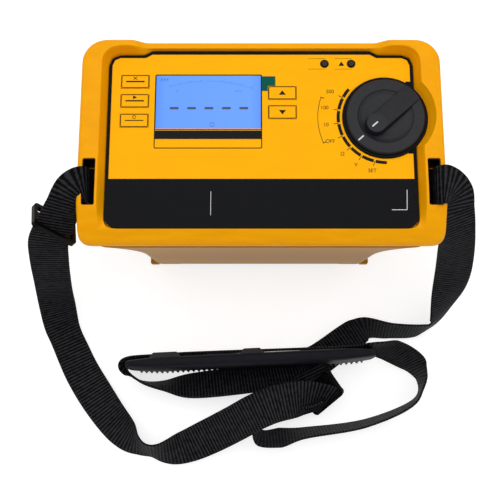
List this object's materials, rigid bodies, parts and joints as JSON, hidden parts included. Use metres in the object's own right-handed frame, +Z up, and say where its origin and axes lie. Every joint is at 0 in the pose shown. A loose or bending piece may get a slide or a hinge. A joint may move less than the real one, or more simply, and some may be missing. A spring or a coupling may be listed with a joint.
{
  "type": "insulation resistance tester",
  "caption": "Portable insulation resistance tester: yellow case, lit display, keys, rotary selector, rear sockets and a webbing neck strap with shoulder pad.",
  "frame": {"origin": "on the table surface under the middle of the instrument's case", "axes": "+X to the operator's right along the case's width, +Y away from the operator, +Z up out of the control panel"},
  "size_m": [0.2987, 0.2651, 0.1332],
  "materials": {
    "yellow_plastic": "fine spark-eroded satin",
    "yellow_film": "smooth printed film",
    "black_plastic": "fine satin",
    "window": "lit blue display window",
    "dark_print": "printed bar",
    "green_tab": "peel-off film tab",
    "lamp_lens": "unlit dark lens",
    "white_inlay": "filled mark",
    "steel": "plated",
    "brass": "turned",
    "board": "solder-masked board",
    "copper_coil": "taped winding",
    "relay_white": "moulded",
    "can_blue": "sleeved can",
    "glass_tube": "fuse tube",
    "cell_jacket": "shrink sleeve",
    "seal_rubber": "soft",
    "webbing": "ribbed polyester webbing",
    "pad_rubber": "soft moulded pad",
    "slider_plastic": "moulded acetal",
    "display_stack": "moulded frame"
  },
  "bodies": {
    "case": {"bezel": "yellow_plastic", "lower_shell": "yellow_plastic", "case_seal": "seal_rubber", "control_panel": "black_plastic", "front_overlay": "yellow_film", "display_window": "window", "display_bar": "dark_print", "film_tab": "green_tab", "lcd_module": "display_stack", "key_domes": "steel", "lamp_left": "lamp_lens", "lamp_right": "lamp_lens", "switch_bush": "brass", "switch_nut": "steel", "switch_housing": "black_plastic", "display_board": "board", "board_screws": "steel", "main_board": "board", "transformer": "copper_coil", "relays": "relay_white", "capacitors": "can_blue", "chips": "black_plastic", "fuse": "glass_tube", "fuse_clips": "steel", "socket_block": "black_plastic", "socket_sleeves": "brass", "battery_box": "black_plastic", "battery_cells": "cell_jacket", "battery_springs": "steel", "battery_lid": "black_plastic", "lid_seal": "seal_rubber", "lid_screws": "steel", "case_screws": "steel", "slot_liner_left": "black_plastic", "slot_liner_right": "black_plastic", "slider_left": "slider_plastic", "slider_right": "slider_plastic", "shoulder_pad": "pad_rubber", "strap_left": "webbing", "strap_right": "webbing"},
    "key_upper_left_body": {"key_upper_left": "yellow_film"},
    "key_middle_left_body": {"key_middle_left": "yellow_film"},
    "key_lower_left_body": {"key_lower_left": "yellow_film"},
    "key_up_body": {"key_up": "yellow_film"},
    "key_down_body": {"key_down": "yellow_film"},
    "rotary_knob": {"knob": "black_plastic", "knob_marks": "white_inlay", "switch_shaft": "steel"}
  },
  "joints": [
    {"name": "key_upper_left_press", "type": "slide", "parent": "case", "child": "key_upper_left_body", "axis": [0, 0, -1], "range_m": [0, 0.0006], "stiffness_N_per_m": 900},
    {"name": "key_middle_left_press", "type": "slide", "parent": "case", "child": "key_middle_left_body", "axis": [0, 0, -1], "range_m": [0, 0.0006], "stiffness_N_per_m": 900},
    {"name": "key_lower_left_press", "type": "slide", "parent": "case", "child": "key_lower_left_body", "axis": [0, 0, -1], "range_m": [0, 0.0006], "stiffness_N_per_m": 900},
    {"name": "key_up_press", "type": "slide", "parent": "case", "child": "key_up_body", "axis": [0, 0, -1], "range_m": [0, 0.0006], "stiffness_N_per_m": 900},
    {"name": "key_down_press", "type": "slide", "parent": "case", "child": "key_down_body", "axis": [0, 0, -1], "range_m": [0, 0.0006], "stiffness_N_per_m": 900},
    {"name": "knob_turn", "type": "hinge", "parent": "case", "child": "rotary_knob", "pos_m": [0.0773, 0.0146, 0.12], "axis": [0, 0, 1], "range_deg": [-70, 35]}
  ]
}
